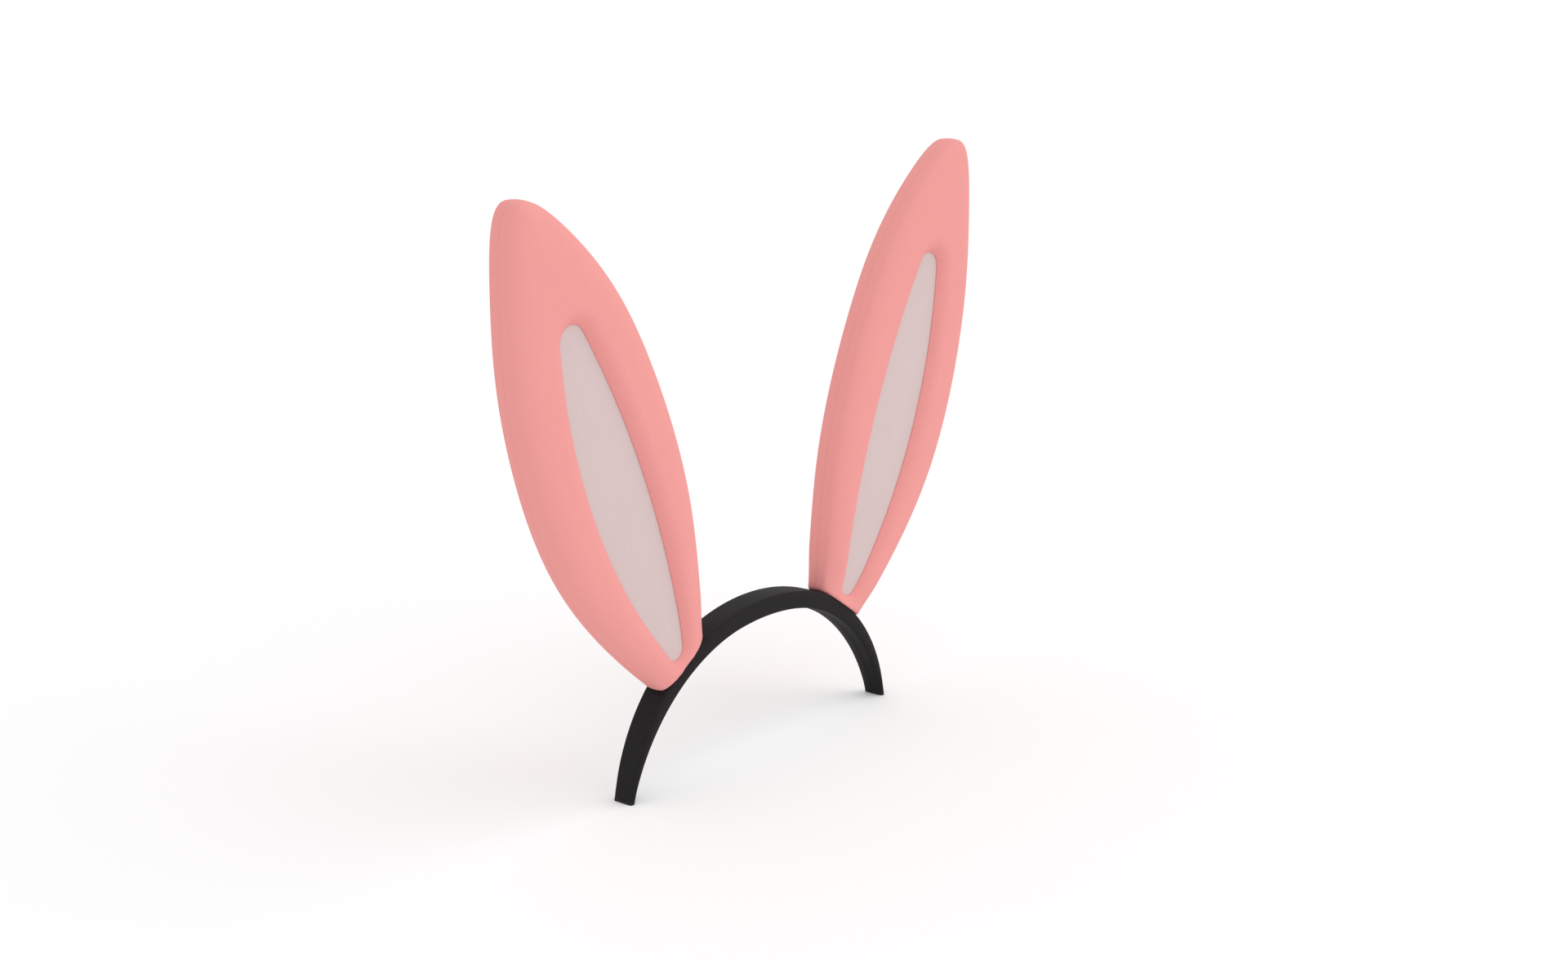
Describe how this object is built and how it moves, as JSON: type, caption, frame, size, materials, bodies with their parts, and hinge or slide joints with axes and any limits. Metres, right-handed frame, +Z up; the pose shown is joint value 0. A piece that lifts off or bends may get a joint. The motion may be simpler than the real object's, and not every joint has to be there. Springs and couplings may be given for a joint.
{
  "type": "animal ears headband",
  "caption": "Sprung, fabric-covered headband with padded rabbit ears on bendable wires; the arch springs open and each ear bends at its root.",
  "frame": {"origin": "On the surface the two leg tips stand on, half way between them and at the middle of the band's depth", "axes": "+Z up through the crown, +X across the head to the wearer's left as seen from the front, -Y the front, where the ears' pale panels are"},
  "size_m": [0.255, 0.0158, 0.2176],
  "materials": {
    "black_fabric": "fine woven satin",
    "pink_fabric": "smooth brushed knit",
    "pale_satin": "matte satin",
    "foam": "open-cell foam",
    "spring_strip": "moulded",
    "steel_wire": "drawn",
    "tape": "adhesive cloth tape",
    "black_rubber": "matte"
  },
  "bodies": {
    "crown": {"crown_sleeve": "black_fabric", "crown_padding": "foam", "crown_core": "spring_strip"},
    "right_leg": {"right_leg_sleeve": "black_fabric", "right_leg_padding": "foam", "right_leg_core": "spring_strip", "right_foot": "black_rubber", "right_wire_root": "steel_wire", "right_wire_binding": "tape"},
    "right_ear": {"right_ear_front_cover": "pink_fabric", "right_ear_back_cover": "pink_fabric", "right_ear_inner_panel": "pale_satin", "right_ear_filling": "foam", "right_ear_wire": "steel_wire"},
    "left_leg": {"left_leg_sleeve": "black_fabric", "left_leg_padding": "foam", "left_leg_core": "spring_strip", "left_foot": "black_rubber", "left_wire_root": "steel_wire", "left_wire_binding": "tape"},
    "left_ear": {"left_ear_front_cover": "pink_fabric", "left_ear_back_cover": "pink_fabric", "left_ear_inner_panel": "pale_satin", "left_ear_filling": "foam", "left_ear_wire": "steel_wire"}
  },
  "joints": [
    {"name": "right_leg_spring", "type": "hinge", "parent": "crown", "child": "right_leg", "pos_m": [0.017, 0, 0.05715], "axis": [0, -1, 0], "range_deg": [0, 15], "stiffness_Nm_per_rad": 0.7},
    {"name": "right_ear_bend", "type": "hinge", "parent": "right_leg", "child": "right_ear", "pos_m": [0.04694, 0, 0.04654], "axis": [0.8241, 0, -0.5664], "range_deg": [-35, 35]},
    {"name": "left_leg_spring", "type": "hinge", "parent": "crown", "child": "left_leg", "pos_m": [-0.017, 0, 0.05715], "axis": [0, 1, 0], "range_deg": [0, 15], "stiffness_Nm_per_rad": 0.7},
    {"name": "left_ear_bend", "type": "hinge", "parent": "left_leg", "child": "left_ear", "pos_m": [-0.04694, 0, 0.04654], "axis": [0.8241, 0, 0.5664], "range_deg": [-35, 35]}
  ],
  "couplings": [
    {"joint": "left_leg_spring", "follows": "right_leg_spring", "ratio": 1}
  ]
}
